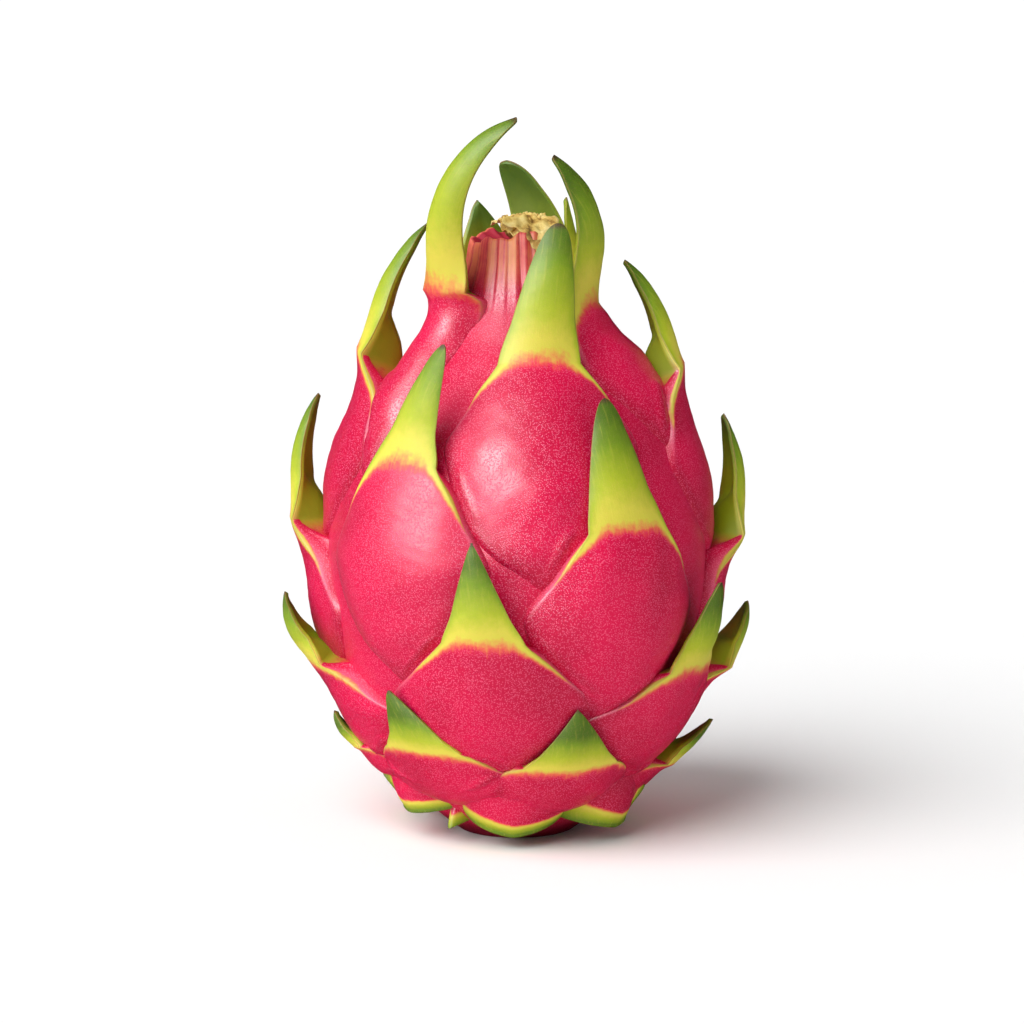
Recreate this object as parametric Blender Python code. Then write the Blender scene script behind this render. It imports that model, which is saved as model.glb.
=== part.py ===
"""Dragon fruit standing upright on its stem end, crown of scales up. Metres, +Z up.

The origin is the centre of the small flat spot that the fruit rests on. The
front faces -Y. Two nodes: the fruit, which grew as one piece with its scales,
and the dried flower remnant that sits on top of its neck.
"""

import math
from typing import NamedTuple

import bmesh
import bpy
import numpy as np

MM = 0.001

# The rind between the scales, as (height, radius) in mm, from the resting spot up.
FLAT_SPOT_RADIUS = 12.5
RIND_PROFILE = (
    (0.0, FLAT_SPOT_RADIUS),
    (2.3, 15.5),
    (6.3, 20.0),
    (11.3, 25.0),
    (18.3, 30.0),
    (28.3, 35.5),
    (39.3, 39.3),
    (49.3, 41.3),
    (60.3, 41.6),
    (70.3, 39.6),
    (81.3, 35.8),
    (91.3, 30.1),
    (99.3, 23.7),
    (105.3, 17.8),
    (110.3, 14.2),
    (115.3, 12.0),
    (120.3, 10.4),
    (123.8, 9.9),
    (125.3, 9.5),
)
RIND_SEGMENTS = 40
RIND_RINGS = 26
NECK_TOP = RIND_PROFILE[-1][0]
NECK_TOP_RADIUS = RIND_PROFILE[-1][1]

# The dried remnant stands this far above the neck, so that the two don't meet.
REMNANT_GAP = 0.3
REMNANT_HEIGHT = 4.8
REMNANT_RADIUS = 6.4
REMNANT_LEAN = 1.4

# Across a scale: where its outer columns stand, and how far in its inner ones do.
OUTER_COLUMNS = (-1.0, -0.72, -0.38, 0.0, 0.38, 0.72, 1.0)
INNER_COLUMNS = (0.88, 0.45, 0.0, -0.45, -0.88)
# Along a scale: from its lower tip to its corners, from there to its shoulder, then along the free blade.
TIP_TO_CORNER = (0.0, 0.4, 0.75, 1.0)
CORNER_TO_SHOULDER = (0.5, 0.82)
BLADE_STATIONS = (0.0, 0.12, 0.28, 0.48, 0.68, 0.86, 1.0)
BURIED = 3.0
TIP_HALF_WIDTH = 0.5
EDGE_THICKNESS = 0.45


class Scale(NamedTuple):
    """One scale: a facet that lies on the rind, and a blade that stands free of it.

    Angles are in degrees and lengths in mm. The azimuth is 0 at the front and
    grows towards +X; height is where the blade leaves the rind. The facet is
    widest at its corners, and point and flare shape the blade: a low point value
    keeps the width up to a blunt tip, and flare narrows the blade above its base.
    """

    azimuth: float
    height: float
    blade: float
    blade_half: float
    facet: float
    facet_half: float
    corner: float
    lean: float
    curl: float
    side: float = 0.0
    bend: float = 0.0
    fold: float = 0.8
    lift: float = 3.5
    point: float = 0.55
    flare: float = 0.14


SCALES = {
    # crown, round the neck
    "crown_left": Scale(-60.5, 111, 41, 9.1, 42, 19, 16, 54, -97, 18, 5, 1.25, 7.5, 0.42, 0.0),
    "crown_right": Scale(80, 110, 34, 10.5, 42, 17, 16, 52, -82, -12, -3, 1.1, 3.3, 0.39, 0.0),
    "crown_back": Scale(153, 113, 28.5, 8.4, 40, 16, 16, 30, -54, 1, 6, 0.7, 3.5, 0.36, 0.0),
    "crown_small_right": Scale(80, 116, 17, 5.0, 16, 7, 7, 12, -12, 12, 0, 0.9, 2.5, 0.6, 0.0),
    "crown_small_left": Scale(-150, 116, 15.5, 10.2, 20, 11, 8, 17, -6, 5, 1, 0.7, 3.0, 0.8, 0.0),
    # upper ring
    "upper_front": Scale(10.5, 99, 28, 8.7, 47, 21.5, 19, 44, -24, 7, 1, 0.7, 3.5, 0.44, 0.06),
    "upper_left": Scale(-95, 96.3, 30.5, 9.2, 42, 19, 18, 29, -43, 0, 0, 1.2, 9.5, 0.5, 0.1),
    "upper_right": Scale(95, 93.8, 25.2, 9.2, 42, 19, 18, 27, -46, 0, 0, 1.2, 8.7, 0.5, 0.1),
    "upper_back": Scale(176, 97, 27, 9.0, 44, 19, 17, 30, -24, -3, 0, 0.7),
    # shoulder ring
    "shoulder_left_front": Scale(-37, 80, 24.5, 8.5, 46, 20.5, 21, 18, -12, 12, 3, 0.7, 3.5, 0.60, 0.12),
    "shoulder_right_front": Scale(32, 68, 26.5, 9.5, 44, 21, 18, 10, -12, -8, 0, 0.7, 3.5, 0.57, 0.0),
    "shoulder_left": Scale(-99, 64.5, 27.2, 9.0, 42, 22, 17, 20, -48, 0, 0, 1.15, 7.6, 0.5, 0.12),
    "shoulder_right": Scale(103, 61.5, 26, 9.2, 42, 21, 17, 15, -46, 0, 0, 1.15, 7.9, 0.5, 0.12),
    "shoulder_right_back": Scale(141, 77, 25, 8.3, 44, 18, 17, 16, -22, 4, 0, 0.7),
    "shoulder_left_back": Scale(-146, 71, 26, 8.3, 44, 19, 17, 14, -20, -4, 0, 0.7),
    # belly ring
    "belly_front": Scale(-9, 47, 21.5, 8.6, 38, 22.5, 16, 8, -20, -4, 0, 0.55, 3.5, 0.85, 0.06),
    "belly_left": Scale(-88, 37, 17.4, 11.2, 34, 29, 10, 30, -64, 12, 0, 1.0, 5.2, 0.6),
    "belly_right_front": Scale(64, 38, 20, 11.0, 34, 25, 11, 12, -26, 0, -3, 0.95, 3.5, 0.6),
    "belly_right": Scale(98, 36, 14.2, 11.4, 32, 20, 12, 26, -50, 15, 0, 0.8, 8.0, 0.6),
    "belly_back": Scale(178, 49, 21, 9.0, 38, 20, 13, 10, -28, 3, 0, 0.6),
    "belly_left_back": Scale(-138, 42, 20, 8.4, 34, 19, 12, 20, -50, 0, 0, 0.8, 4.5),
    # base ring
    "base_front_left": Scale(-34, 23, 14.5, 9.4, 26, 19, 9, 0, -30, -6, -3, 0.5, 3.2, 0.75, 0.1),
    "base_front_right": Scale(20, 20, 15, 10.5, 24, 18, 7, 0, -30, 0, -1, 0.5, 3.2, 0.85, 0.06),
    "base_left": Scale(-85, 20, 9, 7.4, 12, 18, 6, 22, -62, 0, 0, 0.8, 4.5, 0.6),
    "base_right": Scale(85, 17, 12.5, 7.8, 22, 18, 7, 20, -28, 0, 0, 0.8, 5.5, 0.6),
    "base_right_back": Scale(138, 22, 14, 8.8, 24, 18, 8, 10, -40, 0, 0, 0.6, 4.0),
    "base_back": Scale(-168, 20, 13, 8.8, 24, 18, 8, 8, -40, 0, 0, 0.6, 4.0),
    "base_left_back": Scale(-127, 17, 12, 8.4, 22, 17, 8, 12, -44, 0, 0, 0.6, 4.0),
}


class Pad(NamedTuple):
    """One short basal scale: a lip of rind that hangs down to a rim.

    Degrees and mm. The span is half the angle that it covers, the rim reaches
    out to a radius at a height, and a horn is a small point at one end of it.
    """

    azimuth: float
    span: float
    top: float
    rim_height: float
    rim_radius: float
    end_height: float = 5.0
    horn: float = 0.0


PADS = {
    "pad_front": Pad(1.5, 29, 16.0, 2.9, 23.0, 5.8),
    "pad_left": Pad(-60, 24, 16.5, 5.8, 25.0, 8.0, -1.0),
    "pad_right": Pad(52, 27, 16.0, 3.4, 26.0, 6.0, 1.0),
    "pad_tab": Pad(-38, 5, 8.0, 3.4, 22.8, 4.6),
    "pad_right_back": Pad(100, 24, 16.0, 3.0, 23.8, 6.0),
    "pad_back": Pad(148, 25, 16.0, 2.4, 23.6, 6.0),
    "pad_left_back": Pad(-162, 25, 16.0, 2.6, 23.6, 6.0),
    "pad_far_left": Pad(-112, 25, 16.0, 3.2, 24.0, 6.0, -0.6),
}
PAD_STATIONS = (-1.0, -0.85, -0.6, -0.3, 0.0, 0.3, 0.6, 0.85, 1.0)
PAD_OUTER = (0.0, 0.3, 0.6, 0.85, 1.0)
PAD_INNER = (0.2, 1.0)


def clear_scene():
    for obj in list(bpy.data.objects):
        bpy.data.objects.remove(obj, do_unlink=True)


def monotone(x, knots_x, knots_y):
    """A smooth curve through the knots that never overshoots between two of them."""
    px = np.asarray(knots_x, float)
    py = np.asarray(knots_y, float)
    step = np.diff(px)
    rise = np.diff(py) / step
    slope = np.zeros(len(px))
    for i in range(1, len(px) - 1):
        if rise[i - 1] * rise[i] > 0:
            w1 = 2 * step[i] + step[i - 1]
            w2 = step[i] + 2 * step[i - 1]
            slope[i] = (w1 + w2) / (w1 / rise[i - 1] + w2 / rise[i])
    slope[0] = rise[0]
    slope[-1] = rise[-1]
    i = np.clip(np.searchsorted(px, x) - 1, 0, len(step) - 1)
    t = (x - px[i]) / step[i]
    return (
        (2 * t**3 - 3 * t**2 + 1) * py[i]
        + (t**3 - 2 * t**2 + t) * step[i] * slope[i]
        + (3 * t**2 - 2 * t**3) * py[i + 1]
        + (t**3 - t**2) * step[i] * slope[i + 1]
    )


def smoothstep(x, low, high):
    t = np.clip((x - low) / (high - low), 0.0, 1.0)
    return t * t * (3 - 2 * t)


class Rind:
    """The rind's outline by arc length from the rim of the flat spot, in mm."""

    def __init__(self):
        knots = np.array(RIND_PROFILE)
        chord = np.hypot(*np.diff(knots, axis=0).T)
        along = np.concatenate([[0.0], np.cumsum(chord)])
        fine = np.linspace(0.0, along[-1], 900)
        self.z = monotone(fine, along, knots[:, 0])
        self.r = monotone(fine, along, knots[:, 1])
        lengths = np.hypot(np.diff(self.r), np.diff(self.z))
        self.s = np.concatenate([[0.0], np.cumsum(lengths)])

    def at(self, s):
        """Radius, height and lean of the outline at arc length s."""
        reach = 0.8
        r = np.interp(s, self.s, self.r)
        z = np.interp(s, self.s, self.z)
        rise = np.interp(s + reach, self.s, self.z) - np.interp(s - reach, self.s, self.z)
        out = np.interp(s + reach, self.s, self.r) - np.interp(s - reach, self.s, self.r)
        return r, z, np.arctan2(out, rise)

    def length_to(self, height):
        return float(np.interp(height, self.z, self.s))


def mesh_object(name, points, faces, collection):
    mesh = bpy.data.meshes.new(name)
    mesh.from_pydata([tuple(p * MM) for p in points], [], faces)
    mesh.update()
    obj = bpy.data.objects.new(name, mesh)
    collection.objects.link(obj)
    outwards(mesh)
    return obj


def outwards(mesh):
    """Turns every face of a closed mesh outwards and shades it smooth."""
    work = bmesh.new()
    work.from_mesh(mesh)
    bmesh.ops.recalc_face_normals(work, faces=work.faces)
    if work.calc_volume(signed=True) < 0:
        bmesh.ops.reverse_faces(work, faces=work.faces)
    for face in work.faces:
        face.smooth = True
    work.to_mesh(mesh)
    work.free()


def loft(name, loops, collection):
    """Joins closed loops of equal length into one closed mesh with flat ends."""
    count = len(loops[0])
    faces = []
    for i in range(len(loops) - 1):
        for j in range(count):
            k = (j + 1) % count
            a = i * count
            b = a + count
            faces.append((a + j, a + k, b + k, b + j))
    last = (len(loops) - 1) * count
    faces.append(tuple(reversed(range(count))))
    faces.append(tuple(last + j for j in range(count)))
    return mesh_object(name, np.vstack(loops), faces, collection)


def half_width(scale, q):
    """Half the width of a scale, q mm above its shoulder."""
    wf, wb, low, corner = scale.facet_half, scale.blade_half, scale.facet, scale.corner
    if q > 0:
        t = q / scale.blade
        wide = wb * max(1 - t, 0.0) ** scale.point * (1 - scale.flare * float(smoothstep(t, 0.0, 0.3)))
        return max(wide, TIP_HALF_WIDTH)
    at = [-low, -0.5 * (low + corner), -corner, -0.48 * corner, -0.17 * corner, 0.0]
    wide = [0.08 * wf, 0.72 * wf, wf, 0.5 * (wf + wb), 0.14 * wf + 0.9 * wb, wb]
    return float(monotone(np.array([q]), at, wide)[0])


def facet_height(scale, q):
    """How far the middle of the facet stands above the rind."""
    knots = [-1.0, -0.78, -0.52, -0.3, -0.12, 0.0]
    near = 3.2 + 0.36 * (scale.lift - 3.2)
    heights = [-1.4, 0.5, 2.8, 3.3, near, scale.lift]
    return float(monotone(np.array([max(min(q / scale.facet, 0.0), -1.0)]), knots, heights)[0])


def margin_height(scale, q):
    """How far the edge of the facet stands above the rind."""
    corner = scale.corner
    knots = [-scale.facet, -1.15 * corner, -0.8 * corner, -0.4 * corner, 0.0]
    heights = [-2.0, -1.4, -0.6, 1.0, scale.lift - 0.8]
    return float(monotone(np.array([max(min(q, 0.0), -scale.facet)]), knots, heights)[0])


def blade_path(rind, scale):
    """Radius, height and lean along the blade, by equal steps from the shoulder."""
    r0, z0, lean0 = rind.at(rind.length_to(scale.height))
    r0 = r0 + scale.lift * math.cos(lean0)
    z0 = z0 - scale.lift * math.sin(lean0)
    t = np.linspace(0.0, 1.0, 121)
    lean = lean0 + math.radians(scale.lean) * smoothstep(t, -0.25, 0.25)
    lean = lean + math.radians(scale.curl) * t**1.4
    middle = (lean[1:] + lean[:-1]) / 2
    step = scale.blade / 120
    r = r0 + np.concatenate([[0.0], np.cumsum(np.sin(middle) * step)])
    z = z0 + np.concatenate([[0.0], np.cumsum(np.cos(middle) * step)])
    return t, r, z, lean


def scale_loop(rind, scale, path, q):
    """The closed loop round a scale, q mm above its shoulder."""
    azimuth = math.radians(scale.azimuth)
    start = rind.length_to(scale.height)
    rind_r, rind_z, rind_lean = (float(v) for v in rind.at(start + q))
    share = max(q, 0.0) / scale.blade
    wide = half_width(scale, q)
    if q > 0:
        t, r, z, lean = path
        mid_r, mid_z, mid_lean = (float(np.interp(share, t, v)) for v in (r, z, lean))
        lift = 0.0
    else:
        lift = facet_height(scale, q)
        mid_r = rind_r + lift * math.cos(rind_lean)
        mid_z = rind_z - lift * math.sin(rind_lean)
        turned = float(smoothstep(q, -0.25 * scale.facet, 0.0))
        mid_lean = rind_lean + 0.5 * math.radians(scale.lean) * turned
    sideways = math.tan(math.radians(scale.side)) * max(q, 0.0) + scale.bend * share**2

    flat = wide / max(rind_r / max(math.cos(rind_lean), 0.3), 1.0)
    fold = float(smoothstep(q / scale.blade, -0.05, 0.35))
    tip = 1.0 - 0.6 * float(smoothstep(share, 0.7, 1.0))
    angle = max(min(flat, 1.2) * (1 - fold) + scale.fold * fold * tip, 0.001)
    rho = wide / angle
    root = max(3.4, scale.lift + 1.0)
    knots = [0, 0.16, 0.34, 0.6, 1.0]
    thick = float(monotone(np.array([share]), knots, [root, 0.62 * root + 0.8, 2.7, 1.9, 0.5])[0])
    free = float(smoothstep(q, -0.5 * scale.corner, 0.0))
    on_rind = 1.0 - float(smoothstep(q, -6.0, 0.0))
    edge = margin_height(scale, q) - lift if q <= 0 else 0.0

    def place(v, depth):
        """A point v half widths from the middle, depth mm under the outer face."""
        drop = edge * abs(v) ** 2.2 - depth
        out = drop - rho * (1 - math.cos(v * angle))
        side = sideways + (rho - depth) * math.sin(v * angle)
        r = mid_r + out * math.cos(mid_lean)
        z = mid_z - out * math.sin(mid_lean)
        framed = np.array([
            r * math.sin(azimuth) + side * math.cos(azimuth),
            -r * math.cos(azimuth) + side * math.sin(azimuth),
            z,
        ])
        turn = azimuth + wide * v / max(rind_r, 3.0)
        out = lift + drop
        r = rind_r + out * math.cos(rind_lean)
        z = rind_z - out * math.sin(rind_lean)
        wrapped = np.array([r * math.sin(turn), -r * math.cos(turn), z])
        return wrapped * on_rind + framed * (1 - on_rind)

    points = [place(v, 0.0) for v in OUTER_COLUMNS]
    for v in INNER_COLUMNS:
        leaf = EDGE_THICKNESS + (thick - EDGE_THICKNESS) * (1 - abs(v) ** 2.5)
        leaf = min(leaf, 0.55 * rho)
        buried = lift + edge * abs(v) ** 2.2 + BURIED
        points.append(place(v, buried * (1 - free) + leaf * free))
    return np.array(points)


def make_scale(rind, name, scale, collection):
    path = blade_path(rind, scale)
    low, corner = scale.facet, scale.corner
    stations = [share * (low - corner) - low for share in TIP_TO_CORNER]
    stations += [(share - 1.0) * corner for share in CORNER_TO_SHOULDER]
    stations += [share * scale.blade for share in BLADE_STATIONS]
    loops = [scale_loop(rind, scale, path, q) for q in stations]
    return loft(name, loops, collection)


def pad_loop(rind, pad, f):
    """The closed section of a basal pad, a share f of its span from its middle."""
    away = abs(f)
    size = math.sin(math.radians(min(pad.span, 27))) / math.sin(math.radians(27))
    rim_z = pad.rim_height + (pad.end_height - pad.rim_height) * away**1.2
    body_r = float(np.interp(rim_z, rind.z, rind.r))
    rim_r = pad.rim_radius + (body_r - 0.6 - pad.rim_radius) * away**2.6
    if pad.horn:
        horn = math.exp(-(((f - 0.72 * math.copysign(1, pad.horn)) / 0.2) ** 2)) * abs(pad.horn)
        rim_r += 2.6 * horn
        rim_z += 2.4 * horn
    top_z = pad.top - (pad.top - pad.end_height - 0.5) * away**3
    top_r = float(np.interp(top_z, rind.z, rind.r)) - 0.5
    section = []
    for t in PAD_OUTER:
        bulge = 2.6 * size * (1 - away**2) * math.sin(math.pi * t**0.9)
        r = top_r + (rim_r - top_r) * t + 0.75 * bulge
        z = top_z + (rim_z - top_z) * t - 0.15 * bulge
        section.append((r, z))
    for u in PAD_INNER:
        r = rim_r - (5.0 * size + 1.0) * u
        z = rim_z - 0.3 * size * (u < 1) + (0.2 * rim_z + 2.5) * u * u
        section.append((r, z))
    turn = math.radians(pad.azimuth + pad.span * f)
    return np.array([[r * math.sin(turn), -r * math.cos(turn), max(z, 0.3)] for r, z in section])


def make_pad(rind, name, pad, collection):
    return loft(name, [pad_loop(rind, pad, f) for f in PAD_STATIONS], collection)


def make_rind(rind, collection):
    """The rind under the scales: a turned shape with a closed flat bottom."""
    levels = np.linspace(0.0, rind.s[-1], RIND_RINGS)
    loops = []
    for s in levels:
        r, z, _ = rind.at(s)
        turn = np.linspace(0.0, 2 * math.pi, RIND_SEGMENTS, endpoint=False)
        loops.append(np.stack([r * np.sin(turn), -r * np.cos(turn), z + 0 * turn], axis=1))
    return loft("fruit", loops, collection)


def join_scales(fruit, helpers):
    union = fruit.modifiers.new("scales", "BOOLEAN")
    union.operation = "UNION"
    union.solver = "EXACT"
    union.operand_type = "COLLECTION"
    union.collection = helpers


def make_remnant(collection):
    """The crumpled remnant of the flower, on top of the neck."""
    segments = 20
    base = NECK_TOP + REMNANT_GAP
    rings = ((0.0, 0.62), (0.25, 0.92), (0.6, 1.0), (0.85, 0.9), (1.0, 0.55), (0.8, 0.2))
    loops = []
    for share, size in rings:
        turn = np.linspace(0.0, 2 * math.pi, segments, endpoint=False)
        crumple = 1 + 0.10 * np.sin(3 * turn + 0.6) + 0.07 * np.sin(7 * turn + 9 * share)
        r = REMNANT_RADIUS * size * crumple
        lift = 1 + 0.16 * np.sin(4 * turn + 1.0) * share
        z = base + REMNANT_HEIGHT * share * lift
        x = r * np.sin(turn) + REMNANT_LEAN * share
        loops.append(np.stack([x, -0.85 * r * np.cos(turn), z], axis=1))
    return loft("flower_remnant", loops, collection)


def coat(obj, name, colour, roughness):
    material = bpy.data.materials.new(name)
    material.use_nodes = True
    shader = material.node_tree.nodes["Principled BSDF"]
    shader.inputs["Base Color"].default_value = (*colour, 1.0)
    shader.inputs["Roughness"].default_value = roughness
    obj.data.materials.append(material)


def main():
    clear_scene()
    scene = bpy.context.scene.collection
    helpers = bpy.data.collections.new("scales")
    helpers.hide_render = True
    scene.children.link(helpers)

    rind = Rind()
    fruit = make_rind(rind, scene)
    for name, scale in SCALES.items():
        make_scale(rind, name, scale, helpers)
    for name, pad in PADS.items():
        make_pad(rind, name, pad, helpers)
    for helper in helpers.objects:
        helper.hide_render = True
        helper.display_type = "WIRE"
    join_scales(fruit, helpers)
    coat(fruit, "rind", (0.75, 0.03, 0.11), 0.45)

    remnant = make_remnant(scene)
    coat(remnant, "dried_flower", (0.66, 0.46, 0.2), 0.9)


main()
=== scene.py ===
"""Dragon fruit standing on its stem end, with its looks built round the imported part.

Everything is in metres in the part's own frame: the origin is the centre of the
resting spot, +Z runs up through the neck and -Y is the front. The design tables
below are in millimetres and degrees.
"""

import logging
import math
from dataclasses import dataclass, field
from enum import Enum
from typing import Any, Dict, List, Optional, Sequence, Tuple

import bpy
import numpy as np
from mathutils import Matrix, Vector

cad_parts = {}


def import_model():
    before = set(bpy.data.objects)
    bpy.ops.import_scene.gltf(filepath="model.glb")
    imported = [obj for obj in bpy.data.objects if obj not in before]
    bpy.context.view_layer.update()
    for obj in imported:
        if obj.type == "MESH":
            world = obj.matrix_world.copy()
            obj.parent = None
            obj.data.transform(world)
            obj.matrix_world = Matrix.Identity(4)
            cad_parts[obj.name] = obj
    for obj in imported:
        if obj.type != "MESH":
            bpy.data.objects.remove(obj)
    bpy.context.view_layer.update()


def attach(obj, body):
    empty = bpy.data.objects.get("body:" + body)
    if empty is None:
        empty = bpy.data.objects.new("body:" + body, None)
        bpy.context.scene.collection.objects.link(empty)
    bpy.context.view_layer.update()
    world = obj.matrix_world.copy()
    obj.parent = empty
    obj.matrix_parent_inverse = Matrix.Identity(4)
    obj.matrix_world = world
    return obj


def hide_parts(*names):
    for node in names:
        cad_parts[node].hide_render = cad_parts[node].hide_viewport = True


LOG = logging.getLogger("dragon_fruit")
MM = 0.001
PER_METRE = 1000.0

# The one body, which every piece rides on.
BODY = "root"
# How a facet falls towards its margins: the higher, the flatter its middle.
PILLOW = 2.2

# The rind between the scales, as (height, radius) in mm, from the resting spot up.
RIND_PROFILE: Tuple[Tuple[float, float], ...] = (
    (0.0, 12.5),
    (2.3, 15.5),
    (6.3, 20.0),
    (11.3, 25.0),
    (18.3, 30.0),
    (28.3, 35.5),
    (39.3, 39.3),
    (49.3, 41.3),
    (60.3, 41.6),
    (70.3, 39.6),
    (81.3, 35.8),
    (91.3, 30.1),
    (99.3, 23.7),
    (105.3, 17.8),
    (110.3, 14.2),
    (115.3, 12.0),
    (120.3, 10.4),
    (123.8, 9.9),
    (125.3, 9.5),
)


def monotone(x: Any, knots_x: Sequence[float], knots_y: Sequence[float]) -> np.ndarray:
    """A smooth curve through the knots that never overshoots between two of them.

    Args:
        x: Where to read the curve.
        knots_x: Rising positions of the knots.
        knots_y: Value at each knot.

    Returns:
        The value of the curve at each x.
    """
    px = np.asarray(knots_x, float)
    py = np.asarray(knots_y, float)
    step = np.diff(px)
    rise = np.diff(py) / step
    slope = np.zeros(len(px))
    for i in range(1, len(px) - 1):
        if rise[i - 1] * rise[i] > 0:
            w1 = 2 * step[i] + step[i - 1]
            w2 = step[i] + 2 * step[i - 1]
            slope[i] = (w1 + w2) / (w1 / rise[i - 1] + w2 / rise[i])
    slope[0] = rise[0]
    slope[-1] = rise[-1]
    i = np.clip(np.searchsorted(px, x) - 1, 0, len(step) - 1)
    t = (x - px[i]) / step[i]
    return (
        (2 * t**3 - 3 * t**2 + 1) * py[i]
        + (t**3 - 2 * t**2 + t) * step[i] * slope[i]
        + (3 * t**2 - 2 * t**3) * py[i + 1]
        + (t**3 - t**2) * step[i] * slope[i + 1]
    )


def smoothstep(x: Any, low: float, high: float) -> np.ndarray:
    """Zero below low, one above high, and a smooth ramp between them."""
    t = np.clip((np.asarray(x, float) - low) / (high - low), 0.0, 1.0)
    return t * t * (3 - 2 * t)


@dataclass(frozen=True)
class Scale:
    """One scale: a facet that lies on the rind, and a blade that stands free of it.

    Angles are in degrees and lengths in mm. The azimuth is 0 at the front and
    grows towards +X, and height is where the blade leaves the rind. The facet is
    widest at its corners. The blade leans out at its base and curls back along
    its length, side and bend turn it sideways, fold is how deep a channel it is,
    and lift how far its foot stands proud. A low point value keeps the width up
    to a blunt tip, and flare narrows the blade above its base.
    The pace says how soon the blade turns from yellow to green, and the fullness
    how wide the lower half of the facet is. Rimmed says how far the yellow runs
    down the facet's edges, and bloom is wax that dulls the shine of the scale.
    """

    name: str
    azimuth: float
    height: float
    blade: float
    blade_half: float
    facet: float
    facet_half: float
    corner: float
    lean: float
    curl: float
    side: float = 0.0
    bend: float = 0.0
    fold: float = 0.8
    lift: float = 3.5
    point: float = 0.55
    flare: float = 0.14
    pace: float = 1.0
    fullness: float = 0.72
    rimmed: float = 1.0
    bloom: float = 0.0


SCALES: Tuple[Scale, ...] = (
    # crown, round the neck
    Scale(
        "crown_left", -60.5, 111, 41, 9.1, 42, 7.8, 5, 54, -97, 18, 5, 1.25, 7.5, 0.42, 0.0, 0.95,
        fullness=0.98, rimmed=0.5,
    ),
    Scale("crown_right", 80, 110, 34, 10.5, 42, 17, 16, 52, -82, -12, -3, 1.1, 3.3, 0.39, 0.0, 1.12),
    Scale("crown_back", 153, 113, 28.5, 8.4, 40, 16, 16, 30, -54, 1, 6, 0.7, 3.5, 0.36, 0.0),
    Scale("crown_small_right", 80, 116, 17, 5.6, 16, 7, 7, 12, -12, 12, 0, 0.9, 2.5, 0.6, 0.0, 0.6),
    Scale("crown_small_left", -150, 116, 15.5, 10.2, 20, 11, 8, 17, -6, 5, 1, 0.7, 3.0, 0.8, 0.0),
    # upper ring
    Scale("upper_front", 10.5, 99, 28, 8.7, 47, 21.5, 19, 44, -24, 7, 1, 0.7, 3.5, 0.44, 0.06, 1.0, 0.88),
    Scale("upper_left", -95, 96.3, 30.5, 9.2, 42, 19, 18, 29, -43, 0, 0, 1.2, 9.5, 0.5, 0.1),
    Scale("upper_right", 95, 93.8, 25.2, 9.2, 42, 19, 18, 27, -46, 0, 0, 1.2, 8.7, 0.5, 0.1),
    Scale("upper_back", 176, 97, 27, 9.0, 44, 19, 17, 30, -24, -3, 0, 0.7),
    # shoulder ring
    Scale(
        "shoulder_left_front", -37, 80, 24.5, 8.5, 46, 20.5, 21, 18, -12, 12, 3, 0.7, 3.5, 0.60, 0.12, 0.92,
        bloom=0.10,
    ),
    Scale("shoulder_right_front", 32, 68, 26.5, 9.5, 44, 21, 18, 10, -12, -8, 0, 0.7, 3.5, 0.57, 0.0, 1.08),
    Scale("shoulder_left", -99, 64.5, 27.2, 9.0, 42, 22, 17, 20, -48, 0, 0, 1.15, 7.6, 0.5, 0.12),
    Scale("shoulder_right", 103, 61.5, 26, 9.2, 42, 21, 17, 15, -46, 0, 0, 1.15, 7.9, 0.5, 0.12),
    Scale("shoulder_right_back", 141, 77, 25, 8.3, 44, 18, 17, 16, -22, 4, 0, 0.7),
    Scale("shoulder_left_back", -146, 71, 26, 8.3, 44, 19, 17, 14, -20, -4, 0, 0.7),
    # belly ring
    Scale("belly_front", -9, 47, 21.5, 8.6, 38, 22.5, 16, 8, -20, -4, 0, 0.55, 3.5, 0.85, 0.06, 1.18),
    Scale("belly_left", -88, 37, 17.4, 11.2, 34, 29, 10, 30, -64, 12, 0, 1.0, 5.2, 0.6),
    Scale("belly_right_front", 64, 38, 20, 11.0, 34, 25, 11, 12, -26, 0, -3, 0.95, 3.5, 0.6, 0.14, 1.2),
    Scale("belly_right", 98, 36, 14.2, 11.4, 32, 20, 12, 26, -50, 15, 0, 0.8, 8.0, 0.6),
    Scale("belly_back", 178, 49, 21, 9.0, 38, 20, 13, 10, -28, 3, 0, 0.6),
    Scale("belly_left_back", -138, 42, 20, 8.4, 34, 19, 12, 20, -50, 0, 0, 0.8, 4.5),
    # base ring
    Scale("base_front_left", -34, 23, 14.5, 9.4, 21, 19, 9, 0, -30, -6, -3, 0.5, 3.2, 0.75, 0.1, 1.45),
    Scale("base_front_right", 20, 20, 15, 10.5, 19.5, 18, 7, 0, -30, 0, -1, 0.5, 3.2, 0.85, 0.06, 1.45),
    Scale("base_left", -85, 20, 9, 7.4, 12, 18, 6, 22, -62, 0, 0, 0.8, 4.5, 0.6, 0.14, 1.4),
    Scale("base_right", 85, 17, 12.5, 7.8, 22, 18, 7, 20, -28, 0, 0, 0.8, 5.5, 0.6, 0.14, 1.4),
    Scale("base_right_back", 138, 22, 14, 8.8, 24, 18, 8, 10, -40, 0, 0, 0.6, 4.0),
    Scale("base_back", -168, 20, 13, 8.8, 24, 18, 8, 8, -40, 0, 0, 0.6, 4.0),
    Scale("base_left_back", -127, 17, 12, 8.4, 22, 17, 8, 12, -44, 0, 0, 0.6, 4.0),
)


@dataclass(frozen=True)
class Pad:
    """One short basal scale: a lip of rind that hangs down to a green rim.

    Degrees and mm. The span is half the angle that it covers, the rim reaches
    out to a radius at a height, and a horn is a small point at one end of it.
    """

    name: str
    azimuth: float
    span: float
    top: float
    rim_height: float
    rim_radius: float
    end_height: float = 5.0
    horn: float = 0.0


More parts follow.
